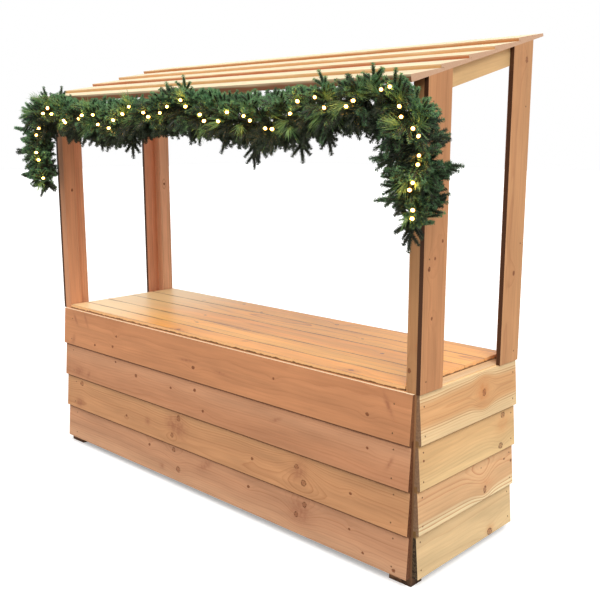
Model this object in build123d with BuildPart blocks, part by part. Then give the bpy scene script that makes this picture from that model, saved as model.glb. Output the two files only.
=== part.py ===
from build123d import *
import math
import os

# Wooden market stall: a clad base with a plank counter, four posts with side boards and
# a roof of lapped boards on three rafters, with a garland tied along the eaves.
# X runs along the stall, Y from the serving side to the back, Z up from the ground.
# Inside this file the posts' front faces lie on y = 0. All sizes are in millimetres.

# frame
frameLength = 2380
frameDepth = 710
groundGap = 36
studWidth = 45
studDepth = 70
legWidth = 60

# feather-edge boards, rebated behind the thick edge
boardHeight = 195
boardThick = 27
boardThin = 12
exposedHeight = 180
lapClear = 0.4
wallRows = 4
boardSetback = 5

# side boards on the outer faces of the posts
sideBoardThick = 18
sideBoardWidth = 145

# rails and counter
railLift = 4
railWidth = 45
railHeight = 70
counterThick = 18
counterEndGap = 5
plankGap = 2
frontPlankWidths = (105, 135, 165, 150)

# roof
roofSlope = 14
roofOverhang = 105
roofEdgeHeight = 1905
rafterWidth = 45
rafterHeight = 70

# garland: a sagging run along the eaves with a drop at each corner
garlandForward = 45
garlandPastRoof = 192
garlandHalfDepth = 105
garlandClear = 0.4
cornerCut = 0.29
dropWidth = 400
# sections of the run: place as a share of half its length between the drops, height of the
# centre below the roof's edge, half height, share of the full depth
runSections = (
    (-0.994, 104, 116, 0.90), (-0.56, 137, 106, 0.86), (-0.252, 127, 100, 0.86), (0.049, 93, 112, 0.90),
    (0.301, 125, 105, 0.86), (0.546, 153, 113, 0.90), (0.854, 125, 115, 0.90), (1.078, 95, 110, 0.90))
# sections of the drops: height below the roof's edge, how far the outer and inner sides lie
# in from the garland's end, share of the full depth
leftSections = (
    (490, 292, 352, 0.3), (405, 176, 426, 0.7), (285, 89, 430, 0.9), (145, 0, 432, 1.0),
    (25, 105, 435, 0.95), (-50, 210, 390, 0.6))
rightSections = (
    (565, 160, 220, 0.3), (475, 95, 305, 0.7), (345, 0, 350, 0.9), (185, 20, 350, 1.0),
    (45, 95, 365, 0.95), (-30, 190, 350, 0.6))

os.makedirs("parts", exist_ok=True)
halfLength = frameLength / 2
cladTop = groundGap + (wallRows - 1) * exposedHeight + boardHeight
railTop = cladTop + railLift
slope = math.radians(roofSlope)
upSlope = Vector(0, math.cos(slope), math.sin(slope))
offSlope = Vector(0, -math.sin(slope), math.cos(slope))
roofHalf = halfLength + sideBoardThick
roofRows = math.ceil((frameDepth + roofOverhang) / (exposedHeight * math.cos(slope)))
roofCorner = Vector(0, -roofOverhang, roofEdgeHeight) - offSlope * boardThick

# the origin is on the ground under the middle of the whole stall, garland included
roofBack = -roofOverhang + ((roofRows - 1) * exposedHeight + boardHeight) * math.cos(slope)
garlandHalf = roofHalf + garlandPastRoof
garlandMiddle = -roofOverhang - garlandForward
garlandFront = garlandMiddle - garlandHalfDepth
toOrigin = Location((0, -(roofBack + garlandFront) / 2, 0))


def save(name, part):
    placed = part.moved(toOrigin)
    placed.label = name
    export_step(placed, f"parts/{name}.step")


def together(pieces):
    # like pieces that don't touch, as one node
    with BuildPart() as group:
        for piece in pieces:
            add(piece)
    return group.part


def roofUnder(y):
    # height of the roof boards' flat undersides at depth y
    return roofCorner.Z + (y - roofCorner.Y) * math.tan(slope)


def clapboard(corner, outward, along, length, lapped):
    # a feather-edge board with its flat back's lower edge at the corner point
    lapHeight = boardHeight - exposedHeight + lapClear
    lapDepth = boardThick - (boardThick - boardThin) * exposedHeight / boardHeight + lapClear
    with BuildPart() as board:
        with BuildSketch(Plane(origin=corner, x_dir=outward, z_dir=along)):
            with BuildLine():
                Polyline((0, 0), (boardThick, 0), (boardThin, boardHeight), (0, boardHeight), close=True)
            make_face()
            if lapped:
                Rectangle(lapDepth, lapHeight, align=(Align.MIN, Align.MIN), mode=Mode.SUBTRACT)
        extrude(amount=length)
    return board.part


def timber(xs, ys, zs):
    # a squared timber between two x, two y and two z values
    with BuildPart() as block:
        with BuildSketch(Plane((min(xs), min(ys), min(zs)))):
            Rectangle(max(xs) - min(xs), max(ys) - min(ys), align=(Align.MIN, Align.MIN))
        extrude(amount=max(zs) - min(zs))
    return block.part


def underRoof(xs, ys, bottomOf):
    # a timber whose top is cut to the roof's slope; bottomOf gives its underside at depth y
    with BuildPart() as block:
        with BuildSketch(Plane(origin=(min(xs), 0, 0), x_dir=(0, 1, 0), z_dir=(1, 0, 0))):
            with BuildLine():
                Polyline(
                    (min(ys), bottomOf(min(ys))), (max(ys), bottomOf(max(ys))),
                    (max(ys), roofUnder(max(ys))), (min(ys), roofUnder(min(ys))), close=True)
            make_face()
        extrude(amount=max(xs) - min(xs))
    return block.part


def rafterUnder(y):
    return roofUnder(y) - rafterHeight / math.cos(slope)


def frontPostFoot(y):
    return 0


def backPostFoot(y):
    # behind, the legs alone reach the ground
    return groundGap


def sideBoardFoot(y):
    return cladTop


# walls: rows of clapboards that stop short of the posts' corners and leave them open
frontStart = halfLength - boardSetback
endStart = frameDepth - boardSetback
for row in range(wallRows):
    z = groundGap + row * exposedHeight
    lapped = row > 0
    save(f"front_board_{row + 1}",
         clapboard((frontStart, 0, z), (0, -1, 0), (-1, 0, 0), 2 * frontStart, lapped))
    save(f"back_board_{row + 1}",
         clapboard((-frontStart, frameDepth, z), (0, 1, 0), (1, 0, 0), 2 * frontStart, lapped))
    save(f"right_board_{row + 1}",
         clapboard((halfLength, endStart, z), (1, 0, 0), (0, -1, 0), endStart - boardSetback, lapped))
    save(f"left_board_{row + 1}",
         clapboard((-halfLength, boardSetback, z), (-1, 0, 0), (0, 1, 0), endStart - boardSetback, lapped))

# corner posts, their side boards and the legs beside them
legs = []
for sideName, side in (("left", -1), ("right", 1)):
    postXs = (side * halfLength, side * (halfLength - studWidth))
    boardXs = (side * halfLength, side * roofHalf)
    legXs = (postXs[1], postXs[1] - side * legWidth)
    for endName, outer, inward, postFoot in (
            ("front", 0, 1, frontPostFoot), ("back", frameDepth, -1, backPostFoot)):
        studYs = (outer, outer + inward * studDepth)
        boardYs = (outer, outer + inward * sideBoardWidth)
        save(f"post_{endName}_{sideName}", underRoof(postXs, studYs, postFoot))
        save(f"side_board_{endName}_{sideName}", underRoof(boardXs, boardYs, sideBoardFoot))
        legs.append(timber(legXs, studYs, (0, railTop)))
    save(f"rafter_{sideName}", underRoof(postXs, (studDepth, frameDepth - studDepth), rafterUnder))
save("base_legs", together(legs))

# the middle rafter ties the roof boards together between the posts
midXs = (-rafterWidth / 2, rafterWidth / 2)
save("rafter_middle", underRoof(midXs, (studDepth, frameDepth), rafterUnder))

# rails on edge behind the long walls, flat at the ends, and a bearer under the counter's middle
legInside = halfLength - studWidth - legWidth
railZs = (railTop - railHeight, railTop)
save("front_rail", timber((-legInside, legInside), (0, railWidth), railZs))
save("back_rail", timber((-legInside, legInside), (frameDepth - railWidth, frameDepth), railZs))
save("middle_bearer", timber(midXs, (railWidth, frameDepth - railWidth), railZs))
endYs = (studDepth, frameDepth - studDepth)
endRails = [
    timber((side * halfLength, side * (halfLength - railHeight)), endYs, (railTop - railWidth, railTop))
    for side in (-1, 1)]
save("end_rails", together(endRails))

# counter planks of unequal width, cut to fit between the posts
counterHalf = halfLength - studWidth - counterEndGap
plankFront = 0
for number, width in enumerate((*frontPlankWidths, frameDepth - sum(frontPlankWidths)), start=1):
    plankYs = (plankFront, plankFront + width - (plankGap if plankFront + width < frameDepth else 0))
    save(f"counter_plank_{number}",
         timber((-counterHalf, counterHalf), plankYs, (railTop, railTop + counterThick)))
    plankFront += width

# roof boards lie flat on the rafters, thick edges down the slope
for row in range(roofRows):
    corner = roofCorner + upSlope * (row * exposedHeight) + Vector(roofHalf, 0, 0)
    save(f"roof_board_{row + 1}", clapboard(corner, offSlope, (-1, 0, 0), 2 * roofHalf, row > 0))

# garland tied along the roof's front edge, swelling and thinning from section to section
runPlanes = []
for share, below, halfTall, fullness in runSections:
    centre = (share * (garlandHalf - dropWidth), garlandMiddle, roofEdgeHeight - below)
    plane = Plane(origin=centre, x_dir=(0, 1, 0), z_dir=(1, 0, 0))
    runPlanes.append((plane, 2 * garlandHalfDepth * fullness, 2 * halfTall))
swells = [runPlanes]
for side, sections in ((-1, leftSections), (1, rightSections)):
    dropPlanes = []
    for below, outer, inner, fullness in sections:
        centre = (side * (garlandHalf - (outer + inner) / 2), garlandMiddle, roofEdgeHeight - below)
        dropPlanes.append((Plane(centre), inner - outer, 2 * garlandHalfDepth * fullness))
    swells.append(dropPlanes)

with BuildPart() as garland:
    for planes in swells:
        for plane, width, height in planes:
            with BuildSketch(plane) as outline:
                Rectangle(width, height)
                chamfer(outline.vertices(), cornerCut * min(width, height))
        loft(ruled=True)
    # it hangs in front of the roof's edge and below it
    with BuildSketch(Plane(origin=(0, -roofOverhang - garlandClear, 0), z_dir=(0, 1, 0), x_dir=(1, 0, 0))):
        with Locations((0, -(roofCorner.Z - garlandClear))):
            Rectangle(2 * garlandHalf, roofEdgeHeight, align=(Align.CENTER, Align.MAX))
    extrude(amount=roofOverhang, mode=Mode.SUBTRACT)
save("garland", garland.part)
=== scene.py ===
# Wooden market stall with a fir garland and fairy lights along its eaves.
import math
import random
import bpy
from mathutils import Matrix, Vector


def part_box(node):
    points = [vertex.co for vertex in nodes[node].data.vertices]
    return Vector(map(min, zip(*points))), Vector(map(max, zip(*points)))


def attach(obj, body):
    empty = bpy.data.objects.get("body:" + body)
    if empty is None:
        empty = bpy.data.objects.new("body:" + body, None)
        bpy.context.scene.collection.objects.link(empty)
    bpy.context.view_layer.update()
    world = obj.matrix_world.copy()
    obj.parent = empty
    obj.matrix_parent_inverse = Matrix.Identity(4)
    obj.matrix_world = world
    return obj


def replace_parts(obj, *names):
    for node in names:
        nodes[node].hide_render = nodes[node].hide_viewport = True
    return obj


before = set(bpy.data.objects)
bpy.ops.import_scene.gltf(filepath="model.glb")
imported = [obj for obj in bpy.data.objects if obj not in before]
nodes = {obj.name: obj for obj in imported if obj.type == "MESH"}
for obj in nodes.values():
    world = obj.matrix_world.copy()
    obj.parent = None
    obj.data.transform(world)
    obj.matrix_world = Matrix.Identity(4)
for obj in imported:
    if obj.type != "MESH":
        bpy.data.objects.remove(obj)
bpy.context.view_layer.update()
print("frame loaded:", len(nodes), "nodes")


# node helpers
def linear(level):
    level /= 255
    return level / 12.92 if level <= 0.04045 else ((level + 0.055) / 1.055) ** 2.4


def shade(red, green, blue):
    # a colour from screen values, 0 to 255 each
    return (linear(red), linear(green), linear(blue), 1.0)


def feed(socket, value):
    if isinstance(value, bpy.types.NodeSocket):
        socket.id_data.links.new(value, socket)
    else:
        socket.default_value = value


def feedAll(sockets, values):
    for key, value in values.items():
        feed(sockets[key], value)


def startNode(tree, kind, **settings):
    node = tree.nodes.new("ShaderNode" + kind)
    for name, value in settings.items():
        setattr(node, name, value)
    return node


def addNode(kind, inputs, **settings):
    # in the tree that a connected input comes from
    tree = next(value.id_data for value in inputs.values() if isinstance(value, bpy.types.NodeSocket))
    node = startNode(tree, kind, **settings)
    feedAll(node.inputs, inputs)
    return node


def calc(operation, *values):
    return addNode("Math", dict(enumerate(values)), operation=operation).outputs[0]


def plus(first, second):
    return calc("ADD", first, second)


def minus(first, second):
    return calc("SUBTRACT", first, second)


def times(first, second):
    return calc("MULTIPLY", first, second)


def spread(value, by, start):
    return calc("MULTIPLY_ADD", value, by, start)


def vectorCalc(operation, *values):
    return addNode("VectorMath", dict(enumerate(values)), operation=operation).outputs[0]


def scaled(vector, factor):
    return addNode("VectorMath", {0: vector, 3: factor}, operation="SCALE").outputs[0]


def splitVector(vector):
    return addNode("SeparateXYZ", {0: vector}).outputs


def objectPlace(tree):
    return startNode(tree, "TexCoord").outputs["Object"]


def ramp(value, low, high, fromLow=0.0, fromHigh=1.0, smooth=True):
    return addNode("MapRange", {
        "Value": value, "From Min": fromLow, "From Max": fromHigh, "To Min": low, "To Max": high,
    }, interpolation_type="SMOOTHSTEP" if smooth else "LINEAR").outputs[0]


def noise(vector, scale, detail=2.0, roughness=0.5):
    return addNode("TexNoise", {
        "Vector": vector, "Scale": scale, "Detail": detail, "Roughness": roughness}).outputs[0]


def grainNoise(vector, stretch, detail=2.0, roughness=0.5):
    return noise(vectorCalc("MULTIPLY", vector, stretch), 1.0, detail, roughness)


def mixColour(factor, first, second):
    return addNode("Mix", {0: factor, 6: first, 7: second}, data_type="RGBA").outputs[2]


def paint(mask, colour, tone):
    return mixColour(mask, colour, shade(*tone))


def startGroup(name, inputs, outputs):
    kinds = {"f": "Float", "v": "Vector", "c": "Color"}
    group = bpy.data.node_groups.new(name, "ShaderNodeTree")
    for direction, sockets in (("INPUT", inputs), ("OUTPUT", outputs)):
        for label, kind in sockets.items():
            group.interface.new_socket(label, in_out=direction, socket_type="NodeSocket" + kinds[kind])
    given = group.nodes.new("NodeGroupInput").outputs
    wanted = group.nodes.new("NodeGroupOutput").inputs
    return group, given, wanted


def useGroup(group, inputs):
    return addNode("Group", inputs, node_tree=group).outputs


def startMaterial(name):
    material = bpy.data.materials.new(name)
    material.use_nodes = True
    tree = material.node_tree
    tree.nodes.clear()
    surface = startNode(tree, "BsdfPrincipled")
    addNode("OutputMaterial", {"Surface": surface.outputs[0]})
    return material, tree, surface


# wood groups
# Coords run along the grain (X), across the face (Y) and down through the board (Z), in metres.
def makeRingGroup():
    group, given, wanted = startGroup("growthRings", {
        "Coords": "v", "Pith": "v", "Bend": "f", "Ring Gap": "f", "Wander": "f", "Seed": "f",
        "Heart Radius": "f", "Heart Edge": "f", "Sapwood": "c", "Heartwood": "c", "Latewood": "c",
        "Figure": "f"}, {"Colour": "c", "Rings": "f", "Fibre": "f"})
    moved = vectorCalc("ADD", given["Coords"], scaled((3.1, 7.7, 5.3), given["Seed"]))
    wander = times(minus(grainNoise(moved, (1.6, 5.0, 5.0)), 0.5), given["Wander"])
    ripple = times(minus(grainNoise(moved, (9.0, 60.0, 60.0)), 0.5), 0.0035)
    away = vectorCalc("SUBTRACT", given["Coords"], given["Pith"])
    away = vectorCalc("MULTIPLY", away, (0.0, 1.0, 1.0))
    length = addNode("VectorMath", {0: away}, operation="LENGTH").outputs[1]
    distance = plus(plus(length, wander), plus(ripple, given["Bend"]))
    phase = calc("DIVIDE", distance, given["Ring Gap"])
    part = calc("FRACT", phase)
    late = times(calc("POWER", part, 3.0), ramp(part, 1.0, 0.0, 0.9, 1.0))
    chance = addNode("TexWhiteNoise", {
        "W": plus(calc("FLOOR", phase), given["Seed"])}, noise_dimensions="1D").outputs["Value"]
    rings = times(late, spread(calc("POWER", chance, 2.0), 1.35, 0.25))
    heart = ramp(minus(distance, given["Heart Radius"]), 1.0, 0.0,
                 times(given["Heart Edge"], -1.0), given["Heart Edge"])
    fibre = grainNoise(moved, (14.0, 520.0, 520.0), 3.0, 0.6)
    broad = grainNoise(moved, (2.2, 16.0, 16.0), 3.0, 0.55)
    streak = grainNoise(moved, (3.0, 110.0, 110.0), 2.0, 0.6)
    tone = plus(ramp(broad, 0.87, 1.1, 0.3, 0.7, False), spread(streak, 0.22, -0.11))
    tone = plus(tone, spread(fibre, 0.12, -0.06))
    colour = mixColour(heart, given["Sapwood"], given["Heartwood"])
    colour = mixColour(times(rings, given["Figure"]), colour, given["Latewood"])
    feed(wanted["Colour"], scaled(colour, tone))
    feed(wanted["Rings"], rings)
    feed(wanted["Fibre"], fibre)
    return group


def makeKnotGroup():
    group, given, wanted = startGroup("knot", {
        "Coords": "v", "Centre": "v", "Radius": "f", "Oval": "f", "Swirl": "f", "Reach": "f"},
        {"Bend": "f", "Core": "f", "Rim": "f"})
    apart = splitVector(vectorCalc("SUBTRACT", given["Coords"], given["Centre"]))
    wobble = grainNoise(given["Coords"], (55.0, 55.0, 0.0))
    along = calc("DIVIDE", apart[0], times(given["Radius"], given["Oval"]))
    across = calc("DIVIDE", apart[1], given["Radius"])
    reach = calc("SQRT", plus(times(along, along), times(across, across)))
    rough = plus(reach, spread(wobble, 0.7, -0.35))
    far = calc("DIVIDE", reach, given["Reach"])
    swell = calc("EXPONENT", times(times(far, far), -0.5))
    feed(wanted["Bend"], times(swell, times(given["Swirl"], -1.0)))
    # small knots are dark all through
    fill = plus(ramp(rough, 0.5, 0.0, 0.5, 1.2), ramp(rough, 0.2, 0.0, 0.1, 0.5))
    feed(wanted["Core"], times(fill, ramp(given["Radius"], 1.9, 1.0, 0.008, 0.011)))
    edge = calc("DIVIDE", minus(rough, 0.78), 0.2)
    ring = calc("EXPONENT", times(times(edge, edge), -1.0))
    broken = noise(given["Coords"], 160.0, 1.0)
    feed(wanted["Rim"], times(ring, ramp(broken, 0.1, 1.0, 0.38, 0.58)))
    return group


def makeStainGroup():
    group, given, wanted = startGroup("stain", {
        "Coords": "v", "Centre": "v", "Length": "f", "Width": "f", "Turn": "f"}, {"Mask": "f"})
    flat = vectorCalc("MULTIPLY", given["Coords"], (1.0, 1.0, 0.0))
    apart = vectorCalc("SUBTRACT", flat, given["Centre"])
    turned = splitVector(addNode("VectorRotate", {
        "Vector": apart, "Angle": given["Turn"]}, rotation_type="Z_AXIS").outputs[0])
    along = calc("DIVIDE", turned[0], given["Length"])
    across = calc("DIVIDE", turned[1], given["Width"])
    square = plus(times(along, along), times(across, across))
    patch = ramp(noise(flat, 45.0, 3.0, 0.6), 0.45, 1.15, 0.3, 0.7)
    feed(wanted["Mask"], times(calc("EXPONENT", times(square, -1.0)), patch))
    return group


# dirt and painted shade near the ground, with a ragged top
def makeDirtShadeGroup():
    group, given, wanted = startGroup("groundDirtAndShade", {"Height": "f", "Reach": "f"}, {"Mask": "f"})
    patch = noise(objectPlace(group), 38.0, 4.0, 0.65)
    level = plus(given["Height"], spread(patch, 0.05, -0.025))
    feed(wanted["Mask"], ramp(level, 1.0, 0.0, 0.0, given["Reach"]))
    return group


ringGroup = makeRingGroup()
knotGroup = makeKnotGroup()
stainGroup = makeStainGroup()
dirtShadeGroup = makeDirtShadeGroup()
print("wood groups made")

# woods
roofSlope = math.radians(14)
boardThin = 0.012
boardThick = 0.027
# how each board lies: the axes along the grain, across the face and through the board, and
# whether its depth grows with that last axis or against it
lays = {
    "front_board": "XZY+", "back_board": "XZY-", "right_board": "YZX-", "left_board": "YZX+",
    "side_board_front_right": "ZYX-", "side_board_back_right": "ZYX-",
    "side_board_front_left": "ZYX+", "side_board_back_left": "ZYX+",
    "post_front_left": "ZYX-", "post_back_left": "ZYX-", "post": "ZXY+", "base_legs": "ZXY+",
    "front_rail": "XZY+", "back_rail": "XZY-", "end_rails": "YXZ-", "middle_bearer": "YZX-",
    "counter_plank": "XYZ-", "rafter": "YZX-", "roof_board": "XYZ-",
}
# colours and figure of each kind of board, and what each wall changes
woods = {
    "cladding": {
        "sapwood": (206, 155, 116), "heartwood": (202, 144, 104), "latewood": (164, 104, 66),
        "knotColour": (134, 78, 48), "rimColour": (92, 50, 28), "pith": (0.0, -0.1, 0.07), "ringGap": 0.011,
        "wander": 0.05, "heartRadius": 0.12, "heartEdge": 0.05, "figure": 0.55, "roughness": 0.62,
        "bump": 0.35, "gloss": 0.25, "knots": (), "stains": (), "stainColour": (150, 92, 66),
        # the lap colour and share are painted shadow under the lip of the board above
        "knotSize": 0.8, "endGrain": (112, 70, 44), "lapShadowColour": (96, 58, 30), "lapShadowShare": 0.8},
    "front_board": {"lapShadowColour": (90, 52, 28)},
    "left_board": {"sapwood": (236, 202, 154), "heartwood": (226, 182, 132)},
    "right_board": {
        # the lap colour and share here: a lighter painted shadow under the laps of the end wall
        "endGrain": (134, 104, 80), "lapShadowColour": (136, 100, 58), "lapShadowShare": 0.75,
        "stainColour": (206, 136, 82)},
    "counter": {
        "sapwood": (243, 171, 70), "heartwood": (238, 159, 59), "latewood": (184, 102, 34),
        "knotColour": (128, 64, 20), "rimColour": (88, 40, 10), "ringGap": 0.012, "figure": 0.7,
        "stainColour": (160, 82, 24), "roughness": 0.42, "bump": 0.2, "gloss": 0.24,
        # the pale tone is a painted sheen towards the left end, and the last tone painted shade low on the
        # plank edges
        "jointColour": (124, 64, 18), "leftSheen": (255, 228, 176), "edgeColour": (242, 186, 128),
        "edgeLowShade": (96, 62, 36)},
    "roof": {
        "sapwood": (236, 219, 186), "heartwood": (232, 208, 168), "latewood": (232, 200, 152),
        "knotColour": (222, 184, 140), "rimColour": (200, 152, 108), "figure": 0.4,
        "endGrain": (204, 162, 132), "lipColour": (186, 138, 98)},
    "timber": {
        "sapwood": (208, 154, 110), "heartwood": (198, 140, 98), "latewood": (160, 102, 66), "figure": 0.5,
        # the edge tone is painted shade on the side boards' narrow edges
        "pith": (0.0, 0.03, 0.05), "ringGap": 0.007, "wander": 0.02, "sideEdgeShade": (66, 36, 18),
        # the foot tone is dirt and painted shade near the ground
        "cornerShade": (96, 70, 50), "footDirtAndShade": (58, 40, 28)},
}
# what single boards change. Knots: along the board, down its face, radius and, for some, how oval
# they are and how much and how far they bend the rings. Stains: along, down, length, width, turn
boards = {
    "front_board_4": {
        # the top colour is a painted highlight on the board's top edge
        "topHighlight": (255, 236, 202), "endGrain": (118, 76, 48),
        "sapwood": (201, 139, 96), "heartwood": (193, 127, 84), "figure": 0.35, "pith": (0, -0.02, 0.16),
        "knots": ((-0.72, 0.143, 0.009), (-0.885, 0.162, 0.008), (-0.065, 0.131, 0.011), (0.98, 0.118, 0.009),
                  (-0.69, 0.084, 0.007), (0.465, 0.08, 0.007)),
        "stains": ((-1.075, 0.05, 0.034, 0.010, -55), (-0.97, 0.045, 0.034, 0.010, -60),
                   (-1.095, 0.165, 0.028, 0.015, 65), (1.075, 0.06, 0.045, 0.011, -60),
                   (-0.12, 0.105, 0.06, 0.006, 2), (0.13, 0.12, 0.05, 0.006, -3))},
    "front_board_3": {
        "endGrain": (90, 50, 26), "sapwood": (205, 150, 112), "heartwood": (193, 136, 98),
        "pith": (0, -0.21, 0.05), "figure": 0.4,
        "knots": ((-0.71, 0.045, 0.007), (-0.53, 0.083, 0.011), (-0.245, 0.088, 0.008), (-0.065, 0.063, 0.01),
                  (0.0, 0.15, 0.009), (0.98, 0.076, 0.007)),
        "stains": ((-1.05, 0.155, 0.04, 0.022, 10), (-0.96, 0.16, 0.02, 0.012, 60),
                   (1.09, 0.11, 0.03, 0.009, 60), (0.48, 0.08, 0.03, 0.008, 20))},
    "front_board_2": {
        "endGrain": (86, 46, 24), "sapwood": (204, 155, 110), "heartwood": (200, 146, 102),
        "pith": (0, -0.16, 0.04), "figure": 0.75,
        "knots": ((-1.045, 0.05, 0.016), (-0.195, 0.052, 0.019, 1.0, 0.02, 3.0),
                  (-0.24, 0.148, 0.015, 1.0, 0.02, 3.0), (-0.62, 0.135, 0.008), (0.33, 0.116, 0.009),
                  (0.60, 0.078, 0.014, 1.2, 0.03, 4.0), (0.645, 0.138, 0.018, 1.2, 0.034, 4.0),
                  (0.90, 0.108, 0.008)),
        "stains": ((-0.19, 0.1, 0.05, 0.06, 80), (-0.44, 0.122, 0.022, 0.018, 0),
                   (-1.06, 0.16, 0.04, 0.03, 20), (0.615, 0.1, 0.05, 0.035, 60),
                   (-0.25, 0.09, 0.03, 0.04, 80))},
    "front_board_1": {
        "endGrain": (104, 64, 42), "sapwood": (206, 158, 122), "heartwood": (198, 146, 110),
        "pith": (0, -0.03, 0.05), "figure": 0.7,
        "knots": ((-0.24, 0.045, 0.016, 1.0, 0.02, 3.0), (-0.2, 0.136, 0.02, 1.0, 0.02, 3.0),
                  (-0.435, 0.068, 0.009), (0.3, 0.077, 0.009), (0.645, 0.058, 0.017, 1.0, 0.03, 4.0),
                  (0.6, 0.113, 0.016, 1.0, 0.024, 4.0), (0.895, 0.083, 0.006), (0.97, 0.158, 0.007),
                  (1.125, 0.176, 0.009)),
        "stains": ((0.0, 0.06, 0.05, 0.02, 30), (0.62, 0.09, 0.06, 0.05, 0), (-0.33, 0.15, 0.02, 0.014, 0))},
    "right_board_4": {
        # the top colour is a painted highlight on the board's top edge
        "topHighlight": (248, 210, 156), "sapwood": (231, 199, 151), "heartwood": (217, 166, 115),
        "latewood": (184, 120, 72), "pith": (0, -0.085, 0.02), "heartRadius": 0.05, "heartEdge": 0.012,
        "figure": 0.75, "wander": 0.04, "knots": ((0.185, 0.088, 0.019, 0.9, 0.062, 3.0),),
        "stains": ((0.175, 0.08, 0.045, 0.045, 20), (0.18, 0.085, 0.03, 0.03, 0))},
    "right_board_3": {
        "sapwood": (226, 191, 138), "heartwood": (220, 177, 124), "pith": (0, -0.03, 0.09), "figure": 0.25,
        "knots": ((-0.228, 0.083, 0.007, 1.0, 0.002, 2.0), (0.35, 0.043, 0.016), (0.325, 0.172, 0.017)),
        "stains": ((0.35, 0.08, 0.05, 0.035, 10),), "stainColour": (212, 148, 96)},
    "right_board_2": {
        "endGrain": (130, 100, 76), "sapwood": (236, 213, 167), "heartwood": (219, 175, 129),
        "latewood": (196, 136, 94), "pith": (0, -0.04, 0.035), "heartRadius": 0.116, "heartEdge": 0.008,
        "ringGap": 0.016, "figure": 0.95, "wander": 0.03,
        "knots": ((0.215, 0.154, 0.019, 0.8, 0.02, 3.0), (0.375, 0.067, 0.006), (0.43, 0.09, 0.008),
                  (0.19, 0.055, 0.004, 1.0, 0.05, 18)),
        "stains": ((0.23, 0.13, 0.05, 0.02, -10),), "stainColour": (214, 150, 104)},
    "right_board_1": {
        "endGrain": (50, 40, 28), "sapwood": (224, 193, 145), "heartwood": (218, 185, 138),
        "pith": (0, -0.04, 0.12), "figure": 0.2,
        "knots": ((0.265, 0.182, 0.021),), "stains": ((0.27, 0.17, 0.03, 0.02, 0),)},
    "counter_plank_1": {
        "knots": ((-0.74, 0.054, 0.009), (-0.22, 0.02, 0.011), (0.85, 0.034, 0.012), (-0.98, 0.09, 0.008)),
        "stains": ((0.19, 0.08, 0.03, 0.01, 40), (0.85, 0.03, 0.05, 0.02, 10), (-0.22, 0.02, 0.05, 0.02, 0))},
    "counter_plank_2": {
        "sapwood": (248, 182, 77), "heartwood": (243, 170, 66), "knots": ((-0.28, 0.08, 0.01),),
        "stains": ((0.0, 0.125, 0.12, 0.014, 0), (-0.6, 0.12, 0.14, 0.012, 0))},
    "counter_plank_3": {
        "sapwood": (242, 170, 68), "heartwood": (237, 158, 58),
        "knots": ((-0.38, 0.085, 0.01), (0.78, 0.085, 0.011)),
        "stains": ((-0.1, 0.012, 0.2, 0.012, 0), (0.0, 0.1, 0.09, 0.012, 0))},
    "counter_plank_4": {
        "sapwood": (246, 177, 73), "heartwood": (242, 166, 62), "knots": ((0.55, 0.07, 0.008),)},
    "counter_plank_5": {
        "knots": ((-0.45, 0.11, 0.011), (-0.7, 0.03, 0.014), (-0.22, 0.02, 0.009), (0.27, 0.065, 0.013),
                  (-1.06, 0.02, 0.011))},
    "roof_board_1": {"lipColour": (150, 98, 70), "knots": ((0.3, 0.1, 0.012), (-0.75, 0.05, 0.01))},
    "roof_board_2": {"lipColour": (206, 160, 108)},
    "roof_board_3": {"lipColour": (184, 112, 72)},
    "roof_board_4": {"lipColour": (214, 162, 112)},
    "roof_board_5": {"lipColour": (190, 126, 78)},
    "end_rails": {"sapwood": (230, 194, 148), "heartwood": (224, 186, 140)},
    "side_board_front_right": {
        "sapwood": (200, 144, 99), "heartwood": (194, 134, 91), "pith": (0, 0.08, 0.12),
        "knots": ((1.235, 0.035, 0.01), (1.27, 0.07, 0.007), (1.33, 0.115, 0.007), (1.05, 0.06, 0.007))},
    "side_board_back_right": {
        "sapwood": (203, 150, 104), "heartwood": (192, 132, 88), "pith": (0, 0.03, 0.14),
        "knots": ((1.15, 0.078, 0.011), (2.0, 0.1, 0.013))},
    # painted light: the left side boards are lighter than the same wood on the right, to brighten their inner
    # faces in the roof's shade
    "side_board_front_left": {"sapwood": (232, 170, 130), "heartwood": (222, 158, 118)},
    "side_board_back_left": {"sapwood": (234, 172, 136), "heartwood": (226, 160, 124)},
    "post_front_right": {
        "sapwood": (199, 150, 101), "heartwood": (191, 139, 93), "knots": ((0.857, 0.012, 0.01),)},
    # painted light: the left posts are lighter than the right one, to brighten their inner faces in the
    # roof's shade
    "post_front_left": {
        "sapwood": (218, 162, 118), "heartwood": (210, 148, 108),
        "knots": ((1.42, 0.045, 0.008, 1.3, 0.002, 1.5),)},
    "post_back_left": {
        "sapwood": (240, 188, 150), "heartwood": (230, 174, 136), "knots": ((1.43, 0.03, 0.009),)},
    "rafter_right": {
        "sapwood": (238, 202, 150), "heartwood": (226, 184, 130), "latewood": (190, 140, 92),
        "knots": ((0.09, 0.03, 0.007),)},
}
kindOf = {"front_board": "cladding", "back_board": "cladding", "right_board": "cladding",
          "left_board": "cladding", "counter_plank": "counter", "roof_board": "roof"}


def startsWith(name, table, other=None):
    for key, value in table.items():
        if name.startswith(key):
            return value
    return other


def layOf(name):
    # axis numbers along the grain, across the face and through the board, and the depth's sign
    lay = startsWith(name, lays)
    return *("XYZ".index(letter) for letter in lay[:3]), lay[3]


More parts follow.
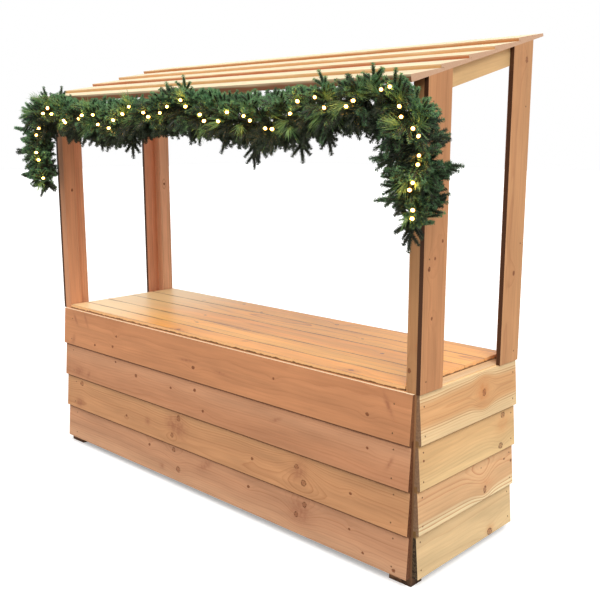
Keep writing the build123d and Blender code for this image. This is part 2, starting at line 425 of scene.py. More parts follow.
def boardCoords(tree, name):
    grain, across, through, way = layOf(name)
    low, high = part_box(name)
    place = objectPlace(tree)
    if name.startswith(("roof_board", "rafter")):  # turned level about the lower front edge
        place = vectorCalc("SUBTRACT", place, (0.0, low.y, low.z))
        place = addNode("VectorRotate", {"Vector": place, "Angle": -roofSlope},
                        rotation_type="X_AXIS").outputs[0]
        low, high = Vector((low.x, 0.0, 0.0)), Vector((high.x, 0.0, boardThick))
    place = splitVector(place)
    if way == "+":
        depth = minus(place[through], low[through])
    else:
        depth = minus(high[through], place[through])
    down = minus(place[across], high.z if across == 2 else low[across])
    return addNode("CombineXYZ", {0: place[grain], 1: down, 2: depth}).outputs[0]


def guessKnots(name, dice):
    grain, across = layOf(name)[:2]
    low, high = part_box(name)
    width = high[across] - low[across]
    return [(dice.uniform(low[grain], high[grain]), dice.uniform(0.15, 0.85) * width,
             dice.uniform(0.006, 0.014)) for number in range(dice.randint(2, 4))]


def woodValues(name, kind):
    # the kind's values, then the wall's, then the board's own; boards without any differ by chance
    dice = random.Random(name)
    wall = startsWith(name, woods, {})
    wood = {**woods["cladding"], **woods[kind], **wall, **boards.get(name, {}), "seed": dice.uniform(0, 40)}
    if name not in boards:
        wood["knots"] = guessKnots(name, dice)
        tint = dice.uniform(0.95, 1.03)
        for key in ("sapwood", "heartwood"):
            wood[key] = tuple(c * tint for c in wood[key])
        if kind == "cladding":
            wood["pith"] = (0.0, dice.uniform(-0.2, 0.0), dice.uniform(0.03, 0.14))
            wood.update(wall)
    if kind in ("counter", "roof"):
        wood["pith"] = (0.0, dice.uniform(0.02, 0.16), dice.uniform(0.05, 0.12))
    return wood


def wearCounter(name, wood, place, coords, normal, ends, colour):
    # painted sheen at the left end, dirty along the joints, and painted shade on the lower part of the sawn
    # ends and the front plank's front edge
    low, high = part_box(name)
    # painted sheen: paler towards the left end
    colour = paint(ramp(place[0], 0.8, 0.0, -1.1, -0.2), colour, wood["leftSheen"])
    edge = calc("MINIMUM", place[1], minus(high.y - low.y, place[1]))
    streak = grainNoise(coords, (4.0, 70.0, 0.0), 3.0, 0.6)
    edge = plus(edge, spread(streak, -0.036, 0.0175))
    colour = paint(ramp(edge, 0.8, 0.0, -0.002, 0.008), colour, wood["jointColour"])
    if name == "counter_plank_1":
        ends = calc("MAXIMUM", ends, ramp(normal[1], 1.0, 0.0, -0.95, -0.8))
    colour = paint(ends, colour, wood["edgeColour"])
    # painted shade on the lower part of those edges
    deep = spread(noise(coords, 40.0), 0.012, place[2])
    return paint(times(ends, ramp(deep, 0.0, 0.95, 0.0165, 0.02)), colour, wood["edgeLowShade"])


def wearWood(tree, name, kind, wood, coords, colour):
    place = splitVector(coords)
    normal = splitVector(startNode(tree, "NewGeometry").outputs["Normal"])
    speckle = noise(coords, 130.0, 3.0, 0.65)
    # sawn ends across the grain
    ends = ramp(calc("ABSOLUTE", normal[layOf(name)[0]]), 0.0, 1.0, 0.8, 0.95)
    ends = times(ends, ramp(speckle, 0.85, 1.0, 0.35, 0.6))
    colour = paint(ends, colour, wood["endGrain"])
    if name.startswith("side_board"):  # painted shade on the side boards' narrow front and back edges
        edge = ramp(calc("ABSOLUTE", normal[1]), 0.0, 0.96, 0.5, 0.9)
        colour = paint(edge, colour, wood["sideEdgeShade"])
    if kind == "roof":  # darker on the faces that look forward and down, towards the lower edge
        lip = ramp(calc("MINIMUM", normal[1], normal[2]), 1.0, 0.0, -0.85, -0.5)
        deep = spread(grainNoise(coords, (3.0, 0.0, 90.0)), 0.016, place[2])
        lip = times(lip, ramp(deep, 0.15, 1.0, 0.012, 0.022))
        colour = paint(lip, colour, wood["lipColour"])
    if kind == "cladding" and not name.endswith("4"):  # painted shadow under the lip of the board above
        drop = plus(place[1], spread(speckle, 0.008, -0.004))
        lapShadow = ramp(drop, 0.0, wood["lapShadowShare"], -0.0305, -0.0225)
        colour = paint(lapShadow, colour, wood["lapShadowColour"])
    if "topHighlight" in wood:  # painted highlight on the up-facing top edge
        colour = paint(ramp(normal[2], 0.0, 0.9, 0.8, 0.95), colour, wood["topHighlight"])
    if kind == "counter":
        colour = wearCounter(name, wood, place, coords, normal, ends, colour)
    if name.startswith(("post", "base_legs")):
        height = splitVector(objectPlace(tree))[2]
        if name == "post_front_right":  # the open corner of the cladding
            shadow = ramp(height, 0.75, 0.3, 0.3, 0.74)
            shadow = times(shadow, ramp(height, 1.0, 0.0, 0.76, 0.79))
            colour = paint(shadow, colour, wood["cornerShade"])
        # dirt and painted shade on the feet, darker towards the ground
        dirtAndShade = useGroup(dirtShadeGroup, {"Height": height, "Reach": 0.055})["Mask"]
        colour = paint(times(dirtAndShade, 0.92), colour, wood["footDirtAndShade"])
    return colour


def woodMaterial(name):
    kind = startsWith(name, kindOf, "timber")
    wood = woodValues(name, kind)
    material, tree, surface = startMaterial("wood_" + name)
    coords = boardCoords(tree, name)
    downward = -1 if layOf(name)[1] == 2 else 1
    bend, core, rim = 0.0, 0.0, 0.0
    for along, down, radius, *shape in wood["knots"]:
        oval, swirl, reach = shape or (1.25, radius * 1.3, 3.0)
        knot = useGroup(knotGroup, {
            "Coords": coords, "Centre": (along, down * downward, 0.0), "Radius": radius * wood["knotSize"],
            "Oval": oval, "Swirl": swirl, "Reach": reach})
        bend = plus(knot["Bend"], bend)
        core = calc("MAXIMUM", knot["Core"], core)
        rim = calc("MAXIMUM", knot["Rim"], rim)
    rings = useGroup(ringGroup, {
        "Coords": coords, "Pith": wood["pith"], "Bend": bend, "Ring Gap": wood["ringGap"],
        "Wander": wood["wander"], "Seed": wood["seed"], "Heart Radius": wood["heartRadius"],
        "Heart Edge": wood["heartEdge"], "Figure": wood["figure"], "Sapwood": shade(*wood["sapwood"]),
        "Heartwood": shade(*wood["heartwood"]), "Latewood": shade(*wood["latewood"])})
    colour = rings["Colour"]
    for along, down, length, width, turn in wood["stains"]:
        mask = useGroup(stainGroup, {
            "Coords": coords, "Centre": (along, down * downward, 0.0), "Length": length, "Width": width,
            "Turn": math.radians(-turn)})["Mask"]
        colour = paint(times(mask, 0.6), colour, wood["stainColour"])
    if wood["knots"]:
        colour = paint(times(core, 0.9), colour, wood["knotColour"])
        colour = paint(times(rim, 0.9), colour, wood["rimColour"])
    colour = wearWood(tree, name, kind, wood, coords, colour)
    height = plus(times(rings["Fibre"], 0.7), times(rings["Rings"], 0.3))
    bumped = addNode("Bump", {"Strength": wood["bump"], "Distance": 0.0006, "Height": height})
    feedAll(surface.inputs, {
        "Base Color": colour, "Roughness": spread(rings["Fibre"], 0.14, wood["roughness"] - 0.07),
        "Normal": bumped.outputs[0], "Specular IOR Level": wood["gloss"]})
    return material


for name, node in nodes.items():
    if name != "garland":
        node.data.materials.clear()
        node.data.materials.append(woodMaterial(name))
print("woods made")


# meshes
def turnTo(way, place, roll=0.0):
    # the turn that lays +Z along the way, at the place
    turned = way.to_track_quat("Z", "Y").to_matrix().to_4x4() @ Matrix.Rotation(roll, 4, "Z")
    turned.translation = place
    return turned


def skin(faces, first, rings, sides):
    # quads from each ring of points to the next
    for level in range(rings - 1):
        for k in range(sides):
            a, b = first + level * sides + k, first + level * sides + (k + 1) % sides
            faces.append((a, b, b + sides, a + sides))


def lathe(points, faces, turned, rings):
    # a closed solid from rings of points, each with its radii all round and its height
    first, sides = len(points), len(rings[0][0])
    for radii, height in rings:
        for k, radius in enumerate(radii):
            angle = 2 * math.pi * k / sides
            points.append(turned @ Vector((radius * math.cos(angle), radius * math.sin(angle), height)))
    skin(faces, first, len(rings), sides)
    faces.append(tuple(range(first + sides - 1, first - 1, -1)))
    faces.append(tuple(range(len(points) - sides, len(points))))


def makePiece(name, points, faces, materials, slotName, faceMaterial=None, smooth=False):
    mesh = bpy.data.meshes.new(name)
    mesh.from_pydata(points, [], faces)
    for material in materials:
        mesh.materials.append(material)
    if faceMaterial:
        mesh.polygons.foreach_set("material_index", faceMaterial)
    if smooth:
        mesh.polygons.foreach_set("use_smooth", [True] * len(faces))
    mesh.validate()
    piece = bpy.data.objects.new(name, mesh)
    bpy.context.scene.collection.objects.link(piece)
    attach(piece, "root")
    return piece


# screws
screws = {
    "headRadius": 0.0036,
    "headRise": 0.0008,
    "sides": 12,
    "hole": (0.46, 0.17),
    # how far they sit from the ends of long and short boards, and how much that varies
    "longBoards": (0.077, 0.006),
    "shortBoards": (0.028, 0.004),
    "drops": (0.05, 0.163),
    "sideBoardHeights": (0.045, 0.5, 1.05),
    "sideBoardJitter": 0.01,
}


def screwMaterial():
    material, tree, surface = startMaterial("screwSteel")
    tarnish = noise(objectPlace(tree), 420.0, 3.0)
    colour = mixColour(tarnish, shade(156, 118, 80), shade(100, 70, 46))
    feedAll(surface.inputs, {"Base Color": colour, "Roughness": ramp(tarnish, 0.35, 0.6), "Metallic": 0.6})
    return material


def screwHead(points, faces, place, outward, turn):
    # a low dome with a four-pointed driver hole
    radius, rise, sides = screws["headRadius"], screws["headRise"], screws["sides"]
    dome = [([radius * share] * sides, rise * lift)
            for share, lift in ((1.0, -0.3), (1.0, 0.35), (0.8, 0.85), (0.52, 1.0))]
    point, waist = screws["hole"]
    hole = [radius * (point if k % 3 == 0 else waist) for k in range(sides)]
    dome += [(hole, rise), ([r * 0.8 for r in hole], rise * 0.2)]
    lathe(points, faces, turnTo(outward, place, turn), dome)


def makeScrews():
    points, faces = [], []
    dice = random.Random(5)
    taper = boardThick - boardThin
    for wall, axis, side in (("front", 1, -1), ("back", 1, 1), ("right", 0, 1), ("left", 0, -1)):
        inset, jitter = screws["longBoards" if axis == 1 else "shortBoards"]
        for row in range(1, 5):
            low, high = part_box(f"{wall}_board_{row}")
            tall = high.z - low.z
            outward = Vector((0, 0, taper / tall))
            outward[axis] = side
            for drop in screws["drops"]:
                face = (high if side > 0 else low)[axis] - side * taper * (1 - drop / tall)
                ends = (low[1 - axis] + inset, high[1 - axis] - inset)
                for spot in [end + dice.uniform(-jitter, jitter) for end in ends]:
                    place = Vector((spot, spot, high.z - drop))
                    place[axis] = face
                    screwHead(points, faces, place, outward.normalized(), dice.uniform(0, math.pi))
    for sideName, side in (("right", 1), ("left", -1)):
        for end in ("front", "back"):
            low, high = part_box(f"side_board_{end}_{sideName}")
            postLow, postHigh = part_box(f"post_{end}_{sideName}")
            face = high.x if side > 0 else low.x
            for lift in screws["sideBoardHeights"]:
                jitter = dice.uniform(-screws["sideBoardJitter"], screws["sideBoardJitter"])
                place = Vector((face, (postLow.y + postHigh.y) / 2 + jitter, low.z + lift))
                screwHead(points, faces, place, Vector((side, 0, 0)), dice.uniform(0, math.pi))
    makePiece("screwHeads", points, faces, [screwMaterial()], "frame")


makeScrews()
print("screws made")

# garland
garland = {
    "seed": 21,
    "frontReach": 0.094,
    "backReach": 0.13,
    # how clear the finger tips stay of the roof's edge: before it, past its ends and below it
    "roofClear": (0.012, 0.02, 0.03),
    "bulbClear": 0.018,
    # the left drop hangs beside the corner post: how far, seen at this slant, and below the eaves
    "postSlant": 1.68,
    "postSide": -0.96,
    "postEdge": -0.9,
    "postDrops": (0.07, 0.18),
    # middle line of the bundle from the left drop to the right drop: x, height above the eaves
    "core": ((-1.08, -0.41), (-1.1, -0.26), (-1.09, -0.13), (-1.03, -0.05), (-0.86, -0.06), (-0.6, -0.1),
             (-0.3, -0.1), (-0.08, -0.06), (0.06, -0.05), (0.24, -0.08), (0.46, -0.12), (0.68, -0.11),
             (0.86, -0.07), (1.04, -0.04), (1.18, -0.06), (1.26, -0.15), (1.27, -0.27), (1.25, -0.38),
             (1.26, -0.46)),
    # heights above the eaves that most finger tips stay between: x, top, bottom
    "reach": ((-1.34, -0.1, -0.16), (-1.27, 0.0, -0.34), (-1.18, 0.03, -0.4), (-1.06, 0.06, -0.46),
              (-1.0, 0.06, -0.4), (-0.97, 0.05, -0.21), (-0.7, 0.02, -0.2), (-0.5, 0.01, -0.23),
              (-0.3, 0.02, -0.22), (-0.1, 0.03, -0.18), (0.05, 0.05, -0.17), (0.2, 0.03, -0.2),
              (0.4, 0.0, -0.21), (0.52, 0.01, -0.24), (0.7, 0.01, -0.23), (0.85, 0.02, -0.2),
              (0.98, 0.04, -0.16), (1.08, 0.06, -0.2), (1.13, 0.06, -0.36), (1.2, 0.04, -0.45),
              (1.28, 0.0, -0.48), (1.36, -0.08, -0.42), (1.44, -0.22, -0.34)),
    # branches that stand out from the bundle: x and height of the tip above the eaves
    "standing": ((-1.0, 0.07), (-0.9, 0.07), (-1.24, 0.0), (-1.33, -0.13), (-1.28, -0.24), (-1.27, -0.37),
                 (-1.18, -0.42), (-1.1, -0.48), (-1.01, -0.45), (-0.76, -0.19), (-0.66, -0.22),
                 (-0.56, -0.24), (-0.46, -0.24), (-0.31, -0.27), (-0.02, 0.05), (0.12, 0.07),
                 (0.15, -0.21), (0.35, -0.24), (0.5, -0.3), (0.55, -0.28), (0.66, -0.23), (0.77, -0.27),
                 (0.89, -0.24), (0.88, 0.05), (1.11, 0.06), (1.1, -0.25), (1.13, -0.39), (1.19, -0.5),
                 (1.25, -0.56), (1.31, -0.51), (1.36, -0.45), (1.4, -0.34), (1.44, -0.27), (1.34, -0.06),
                 (1.2, 0.04), (1.26, 0.0), (1.17, 0.0), (1.23, 0.02)),
    "firEvery": 0.0042,
    "pineEvery": 0.05,
    "fillEvery": 0.0011,
    "topEvery": 0.02,
    "tries": 60,
    "firLengths": (0.082, 0.09, 0.098, 0.104, 0.11, 0.116, 0.122, 0.13),
    # from a branch's root to the tips of its needles, for the longest and the shortest
    "longTip": 0.133,
    "shortTip": 0.085,
    "needle": 0.0145,
    "needleHalf": 0.0014,
    "needleStep": 0.0008,
    "needleTurn": 2.4,
    "needleLean": 62,
    "tuft": 10,
    "fingerBody": 0.006,
    # the pieces from left to right, and where each ends
    "pieces": {"garlandLeftDrop": -0.9, "garlandRunLeft": -0.25, "garlandRunMiddle": 0.4,
               "garlandRunRight": 1.06, "garlandRightDrop": 9.0},
    # dark and light of each green; a branch takes one of the first three by how it faces, as painted light
    # and shade
    "greens": {"firShadedGreen": ((34, 46, 32), (70, 84, 58)), "firMiddle": ((54, 88, 60), (108, 140, 96)),
               "firLitGreen": ((76, 126, 84), (144, 184, 128)), "pineGreen": ((92, 136, 78), (156, 184, 118)),
               "twigDark": ((24, 30, 20), (44, 48, 30))},
}


def needleMaterial(name, dark, light):
    material, tree, surface = startMaterial(name)
    place = objectPlace(tree)
    strand = noise(place, 240.0)
    mix = plus(times(noise(place, 26.0), 0.6), times(strand, 0.4))
    colour = mixColour(ramp(mix, 0.0, 1.0, 0.32, 0.68), shade(*dark), shade(*light))
    feedAll(surface.inputs, {
        "Base Color": colour, "Roughness": ramp(strand, 0.4, 0.62), "Specular IOR Level": 0.35})
    return material


def lineLength(points):
    return sum((b - a).length for a, b in zip(points, points[1:]))


def alongLine(points, share):
    # point and direction on the broken line, by share of its length
    left = share * lineLength(points)
    for a, b in zip(points, points[1:]):
        length = (b - a).length
        if left <= length or b is points[-1]:
            return a.lerp(b, min(1.0, left / length)), (b - a).normalized()
        left -= length


def stepAlong(points, every, dice):
    # number, point and direction of steps along the line, each moved on by chance
    length = lineLength(points)
    for number in range(int(length / every)):
        yield number, *alongLine(points, (number + dice.random()) * every / length)


def addTube(points, faces, line, radii, sides):
    # an open tube round a broken line
    first = len(points)
    for k, (place, radius) in enumerate(zip(line, radii)):
        way = (line[min(k + 1, len(line) - 1)] - line[max(k - 1, 0)]).normalized()
        aside = way.orthogonal().normalized() * radius
        points.extend(place + Matrix.Rotation(2 * math.pi * n / sides, 3, way) @ aside for n in range(sides))
    skin(faces, first, len(line), sides)


def addNeedle(points, faces, base, way, roll, length, half):
    # widest past its middle and folded along it
    aside = Matrix.Rotation(roll, 3, way) @ way.orthogonal().normalized()
    wide = base + way * length * 0.6 + way.cross(aside) * half * 0.6
    first = len(points)
    points.extend((base, wide + aside * half, base + way * length, wide - aside * half))
    faces.extend(((first, first + 1, first + 2), (first, first + 2, first + 3)))


def addFinger(needles, bodies, start, way, length, dice):
    # a dark stem thick with needles, its blunt tip closed by a tuft of shorter ones
    thick, size, tuft = garland["fingerBody"], garland["needle"], garland["tuft"]
    addTube(*bodies, [start + way * length * share for share in (0.0, 0.3, 0.85, 1.0)],
            (thick * 0.4, thick, thick * 0.9, thick * 0.3), 5)
    aside = way.orthogonal().normalized()
    turn = dice.uniform(0, 6.3)
    count = int(length / garland["needleStep"])
    for k in range(count + tuft):
        turn += garland["needleTurn"]
        out = Matrix.Rotation(turn, 3, way) @ aside
        if k < count:
            place, lean = length * k / count, garland["needleLean"] - 12 * k / count + dice.uniform(-9, 9)
            reach = size * dice.uniform(0.85, 1.12)
        else:
            place, lean = length, 50 * math.sqrt((k - count) / tuft)
            reach = size * dice.uniform(0.6, 0.8)
        lean = math.radians(lean)
        lie = way * math.cos(lean) + out * math.sin(lean)
        addNeedle(*needles, start + way * place, lie, turn * 1.7, reach, garland["needleHalf"])


def firBranch(dice, length):
    # a main finger with side fingers in one plane, pointing along +Z
    needles, bodies = ([], []), ([], [])
    up = Vector((0, 0, 1))
    addTube(*bodies, [up * -0.02, up * length * 0.4], (0.003, 0.003), 4)
    addFinger(needles, bodies, up * length * 0.22, up, length * 0.78, dice)
    for place, size in ((0.2, 0.5), (0.46, 0.42)):
        for side in (1, -1):
            lean = math.radians(dice.uniform(34, 48))
            way = Vector((side * math.sin(lean), dice.uniform(-0.18, 0.18), math.cos(lean))).normalized()
            start = up * length * (place + dice.uniform(-0.05, 0.05))
            addFinger(needles, bodies, start, way, length * size * dice.uniform(0.88, 1.12), dice)
    return needles, bodies


def pineSpray(dice):
    # long thin needles fanning from a short bud
    needles, bodies = ([], []), ([], [])
    for k in range(dice.randint(28, 38)):
        lean = math.radians(dice.uniform(4, 42))
        turn = dice.uniform(0, 6.3)
        way = Vector((math.sin(lean) * math.cos(turn), math.sin(lean) * math.sin(turn), math.cos(lean)))
        bow = Vector((dice.uniform(-0.1, 0.1), dice.uniform(-0.1, 0.1), 0.14))
        length = dice.uniform(0.055, 0.078)
        base = Vector((0, 0, dice.uniform(0.0, 0.02)))
        line = [base, base + way * length * 0.5, base + (way + bow).normalized() * length]
        addTube(*needles, line, (0.0008, 0.001, 0.0002), 3)
    return needles, bodies


def reachAt(x):
    rows = garland["reach"]
    x = min(max(x, rows[0][0]), rows[-1][0])
    for (xa, ta, ba), (xb, tb, bb) in zip(rows, rows[1:]):
        if x <= xb:
            share = (x - xa) / (xb - xa)
            return eavesZ + ta + (tb - ta) * share, eavesZ + ba + (bb - ba) * share


def fits(place, bulbs):
    # inside the bundle's reach, clear of the roof's edge and the corner post, not over a bulb
    if not bundleY - garland["frontReach"] < place.y < bundleY + garland["backReach"]:
        return False
    before, past, under = garland["roofClear"]
    if place.y > eavesY - before and abs(place.x) < eavesX + past and place.z > eavesZ - under:
        return False
    if any((place - bulb - Vector((0.012, -0.02, 0))).length < garland["bulbClear"] for bulb in bulbs):
        return False
    forward = place.y - bundleY
    slant = place.x + garland["postSlant"] * forward
    drop = garland["postDrops"][slant >= garland["postEdge"]]
    if place.x < -0.8 and slant > garland["postSide"] and place.z < eavesZ - drop:
        return False
    x = place.x + 0.6 * forward
    top, bottom = reachAt(x)
    return bottom < place.z < top and garland["reach"][0][0] < x < garland["reach"][-1][0]


def addBranch(stores, x, branch, start, way, roll, size, droop, kind):
    turned = turnTo(way, start, roll) @ Matrix.Scale(size, 4)
    points, faces, marks = storeAt(stores, x)
    for (partPoints, partFaces), mark in zip(branch, (kind, 4)):
        first = len(points)
        for point in partPoints:
            moved = turned @ point
            moved.z -= droop * (point.z * size) ** 2
            points.append(moved)
        faces.extend(tuple(first + k for k in face) for face in partFaces)
        marks.extend([mark] * len(partFaces))


def storeAt(stores, x):
    return stores[next(name for name, limit in garland["pieces"].items() if x < limit)]


def firGreenByLight(out, dice):
    # painted light and shade: lit green on branches facing up and forward, shaded green on those facing down:
    # 0 shaded, 1 middle, 2 lit
    level = out.z * 0.75 - out.y * 0.2 + dice.uniform(-0.45, 0.45)
    return 0 if level < -0.12 else 1 if level < 0.38 else 2


def addStanding(stores, core, branch, dice):
    for x, height in garland["standing"]:
        tip = Vector((x, bundleY + dice.uniform(-0.05, 0.02), eavesZ + height))
        root = min((alongLine(core, k / 200)[0] for k in range(201)), key=lambda p: (p - tip).length)
        way = (tip - root).normalized()
        size = dice.uniform(0.85, 1.0)
        start = tip - way * garland["longTip"] * size
        addBranch(stores, x, branch, start, way, dice.uniform(-0.5, 0.5), size, 0.0, firGreenByLight(way, dice))


def addFirs(stores, core, bulbs, firs, dice):
    for number, place, forward in stepAlong(core, garland["firEvery"], dice):
        aside = forward.cross(Vector((0, 1, 0))).normalized()
        for attempt in range(garland["tries"]):
            angle = dice.uniform(0, 2 * math.pi)
            out = aside * math.cos(angle) + Vector((0, -1, 0)) * math.sin(angle)
            way = (out + forward * dice.uniform(-1.1, 1.1) + Vector((0, 0, -0.12))).normalized()
            branch = dice.choice(firs)
            start = place + out * dice.uniform(0.0, 0.05)
            size = dice.uniform(0.85, 1.1)
            tip = start + way * max(p.z for p in branch[0][0]) * size
            if all(fits(start.lerp(tip, share), bulbs) for share in (1.0, 0.6, 0.8)):
                addBranch(stores, start.x, branch, start, way, dice.uniform(0, 6.3), size,
                          dice.uniform(0.0, 1.5), firGreenByLight(out, dice))
                break


def addTopRow(stores, branch, dice):
    # short ones close under the roof's edge
    for number in range(int(2 * eavesX / garland["topEvery"])):
        tip = Vector((-eavesX + (number + dice.random()) * garland["topEvery"], eavesY - 0.02,
                      eavesZ + dice.uniform(-0.016, 0.012)))
        way = Vector((dice.uniform(-0.7, 0.7), dice.uniform(-0.4, 0.2), 1.0)).normalized()
        size = dice.uniform(0.65, 0.85)
        start = tip - way * garland["shortTip"] * size
        addBranch(stores, tip.x, branch, start, way, dice.uniform(0, 6.3), size, 0.0, firGreenByLight(way, dice))


def addPines(stores, core, bulbs, pines, dice):
    for number, place, forward in stepAlong(core, garland["pineEvery"], dice):
        for attempt in range(garland["tries"]):
            way = (Vector((dice.uniform(-1, 1), dice.uniform(-1, -0.2), dice.uniform(-0.9, 1))) +
                   forward * dice.uniform(-0.5, 0.5)).normalized()
            start = place + way * dice.uniform(0.03, 0.06)
            tip = start + way * 0.075
            if fits(tip, bulbs) and fits(start.lerp(tip, 0.5), bulbs):
                addBranch(stores, start.x, dice.choice(pines), start, way, 0.0, 1.0, dice.uniform(0, 2), 3)
                break


def addFill(stores, core, dice):
    # loose needles in the shaded green that close the middle of the bundle, as painted shade
    for number, place, forward in stepAlong(core, garland["fillEvery"], dice):
        out = (Matrix.Rotation(dice.uniform(0, 6.3), 3, forward) @ forward.orthogonal().normalized() +
               forward * dice.uniform(-0.5, 0.5)).normalized()
        points, faces, marks = storeAt(stores, place.x)
        addNeedle(points, faces, place, out, number * 1.7, dice.uniform(0.045, 0.07), 0.0022)
        marks.extend([0, 0])


def makeGarland(core, bulbs):
    dice = random.Random(garland["seed"])
    firs = [firBranch(dice, length) for length in garland["firLengths"]]
    pines = [pineSpray(dice) for k in range(5)]
    stores = {name: ([], [], []) for name in garland["pieces"]}
    addStanding(stores, core, firs[-1], dice)
    addFirs(stores, core, bulbs, firs, dice)
    addTopRow(stores, firs[0], dice)
    addPines(stores, core, bulbs, pines, dice)
    addFill(stores, core, dice)
    materials = [needleMaterial(name, *tones) for name, tones in garland["greens"].items()]
    for name, (points, faces, marks) in stores.items():
        piece = makePiece(name, points, faces, materials, "garland", marks)
        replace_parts(piece, "garland")
        print(name, len(piece.data.polygons), "faces")


# fairy lights
lights = {
    "every": 0.064,
    "swing": 0.035,
    # the drops start here; their bulbs sit further in, and closer together on the right one
    "leftDrop": -0.98,
    "rightDrop": 1.1,
    "inwards": (0.1, 0.03, 0.065),
    "lensRadius": 0.0075,
    "lensLength": 0.018,
    "socketRadius": 0.0038,
    "socketLength": 0.016,
    "strength": 60.0,
    "sides": 10,
}


def bulbMaterial():
    material, tree, surface = startMaterial("bulbGlass")
    warm = noise(objectPlace(tree), 9.0, 1.0)
    centre = mixColour(warm, (1.0, 0.46, 0.08, 1.0), (1.0, 0.52, 0.1, 1.0))
    facing = startNode(tree, "LayerWeight").outputs["Facing"]
    tint = mixColour(ramp(facing, 0.0, 1.0, 0.1, 0.4), centre, (0.013, 0.006, 0.0012, 1.0))
    feedAll(surface.inputs, {
        "Base Color": tint, "Emission Color": tint, "Emission Strength": lights["strength"],
        "Roughness": 0.25})
    return material


def socketMaterial():
    material, tree, surface = startMaterial("socketPlastic")
    speck = noise(objectPlace(tree), 300.0)
    colour = mixColour(speck, shade(20, 40, 26), shade(36, 62, 40))
    feedAll(surface.inputs, {"Base Color": colour, "Roughness": ramp(speck, 0.35, 0.55)})
    return material


def bulbSpots(core):
    # in loose pairs that swing from side to side of the bundle
    dice = random.Random(8)
    fullLength = lineLength(core)
    spots, reached = [], 0.03
    while reached < fullLength:
        place, forward = alongLine(core, reached / fullLength)
        onRight = place.x > lights["rightDrop"]
        steep = abs(forward.z) > 0.7
        across = forward.cross(Vector((0, 1, 0))).normalized()
        swing = lights["swing"] * (0.5 if steep else 1.0) * math.sin(len(spots) * 1.15)
        swing += dice.uniform(-0.012, 0.012)
        inwards = lights["inwards"][0 if place.x < lights["leftDrop"] else 2 if onRight else 1]
        spots.append(place + across * swing + Vector((inwards, dice.uniform(-0.08, -0.06), 0)))
        reached += lights["every"] * (1.4 if len(spots) % 2 else 0.6) * (0.7 if onRight else 1.0)
    return spots


def makeLights(spots):
    dice = random.Random(9)
    bulbs, sockets = ([], []), ([], [])
    lens, tall, stem, base = (lights[k] for k in ("lensRadius", "lensLength", "socketRadius", "socketLength"))
    lensProfile = [(lens * math.cos(a) * 0.98 + 0.0001, tall * 0.5 + tall * 0.5 * math.sin(a))
                   for a in (math.radians(d) for d in (-60, -30, 0, 25, 50, 72, 88))]
    socketProfile = (
        (stem * 0.8, -base), (stem, -base * 0.9), (stem, -0.002), (stem * 1.15, 0.001), (stem * 0.9, 0.003))
    for spot in spots:
        way = Vector((dice.uniform(-0.3, 0.6), -1.0, dice.uniform(-0.4, 0.5))).normalized()
        for mesh, profile in ((bulbs, lensProfile), (sockets, socketProfile)):
            rings = [([radius] * lights["sides"], height) for radius, height in profile]
            lathe(*mesh, turnTo(way, spot), rings)
    for name, mesh, material in (
            ("fairyBulbs", bulbs, bulbMaterial()), ("fairySockets", sockets, socketMaterial())):
        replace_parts(makePiece(name, *mesh, [material], "garland", smooth=True), "garland")
    print(len(spots), "fairy lights")


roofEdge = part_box("roof_board_1")
eavesX, eavesY, eavesZ = roofEdge[1].x, roofEdge[0].y, roofEdge[0].z
bundleY = (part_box("garland")[0].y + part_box("garland")[1].y) / 2
garlandCore = [Vector((x, bundleY, eavesZ + height)) for x, height in garland["core"]]
bulbPlaces = bulbSpots(garlandCore)
makeGarland(garlandCore, bulbPlaces)
makeLights(bulbPlaces)
print("garland made")

# stage
viewer = {
    "place": (2.911, -2.707, 1.694),
    "heading": 43.36,
    "pitch": -10.88,
    "lens": 50.3,
}
studio = {
    "floorColour": (0.86, 0.86, 0.85, 1.0),
    "floorBounce": (0.42, 0.41, 0.40, 1.0),
    "floorLift": (0.3, 0.3, 0.3, 1.0),
    "floorSize": 80,
    "skyTop": 0.76,
    "skyEdge": 0.86,
    # the soft lamp stands high at the front right
    "softFrom": (0.52, -0.41, 0.75),
    "softStrength": 2.1,
    "softSpread": 38,
    # a weaker one low at the back left lights the counter under the roof
    "backFrom": (-0.45, 0.75, 0.4),
    "backStrength": 0.5,
    "backSpread": 60,
}


def makeCamera():
    data = bpy.data.cameras.new("viewer")
    data.sensor_width = 36
    data.lens = viewer["lens"]
    eye = bpy.data.objects.new("viewer", data)
    eye.location = viewer["place"]
    eye.rotation_euler = (math.radians(90 + viewer["pitch"]), 0, math.radians(viewer["heading"]))
    bpy.context.scene.collection.objects.link(eye)
    bpy.context.scene.camera = eye


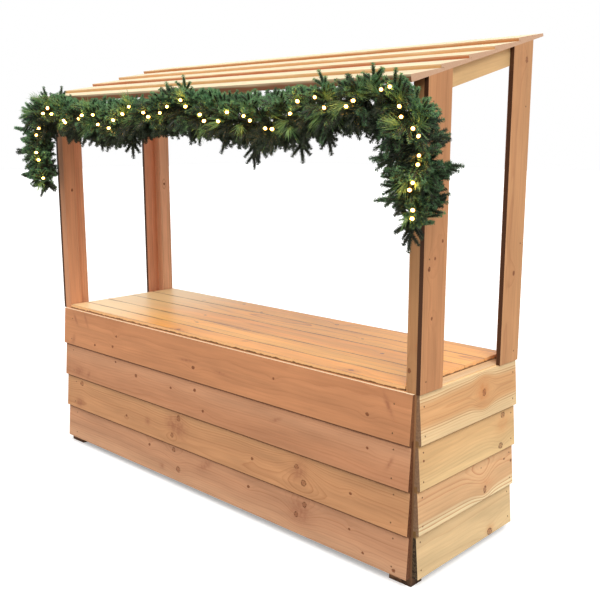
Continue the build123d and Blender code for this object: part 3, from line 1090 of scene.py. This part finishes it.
def makeFloor():
    half = studio["floorSize"] / 2
    mesh = bpy.data.meshes.new("studioFloor")
    corners = [(-half, -half, 0), (half, -half, 0), (half, half, 0), (-half, half, 0)]
    mesh.from_pydata(corners, [], [(0, 1, 2, 3)])
    material, tree, surface = startMaterial("paleFloor")
    seen = startNode(tree, "LightPath").outputs["Is Camera Ray"]
    feedAll(surface.inputs, {
        "Base Color": mixColour(seen, studio["floorBounce"], studio["floorColour"]),
        "Emission Color": mixColour(seen, (0.0, 0.0, 0.0, 1.0), studio["floorLift"]),
        "Emission Strength": 1.0, "Roughness": 0.9, "Specular IOR Level": 0.0})
    mesh.materials.append(material)
    floor = bpy.data.objects.new("studioFloor", mesh)
    bpy.context.scene.collection.objects.link(floor)


def makeWorld():
    world = bpy.data.worlds.new("studioSky")
    bpy.context.scene.world = world
    world.use_nodes = True
    tree = world.node_tree
    tree.nodes.clear()
    height = splitVector(startNode(tree, "TexCoord").outputs["Generated"])[2]
    level = ramp(height, studio["skyEdge"], studio["skyTop"], smooth=False)
    soft = addNode("Background", {"Color": (1.0, 0.995, 0.985, 1.0), "Strength": level})
    white = startNode(tree, "Background")
    feedAll(white.inputs, {"Color": (1.0, 1.0, 1.0, 1.0), "Strength": 1.0})
    rays = startNode(tree, "LightPath").outputs
    mirrored = calc("MAXIMUM", rays["Is Glossy Ray"], rays["Is Transmission Ray"])
    seen = calc("MAXIMUM", rays["Is Camera Ray"], mirrored)
    mixed = addNode("MixShader", {0: seen, 1: soft.outputs[0], 2: white.outputs[0]})
    addNode("OutputWorld", {"Surface": mixed.outputs[0]})


def makeLamp(name):
    data = bpy.data.lights.new(name + "Lamp", "SUN")
    data.angle = math.radians(studio[name + "Spread"])
    data.energy = studio[name + "Strength"]
    lamp = bpy.data.objects.new(name + "Lamp", data)
    lamp.rotation_euler = Vector(studio[name + "From"]).to_track_quat("Z", "Y").to_euler()
    bpy.context.scene.collection.objects.link(lamp)


makeCamera()
makeFloor()
makeWorld()
makeLamp("soft")
makeLamp("back")
bpy.context.scene.view_settings.view_transform = "Standard"
print("stage made")
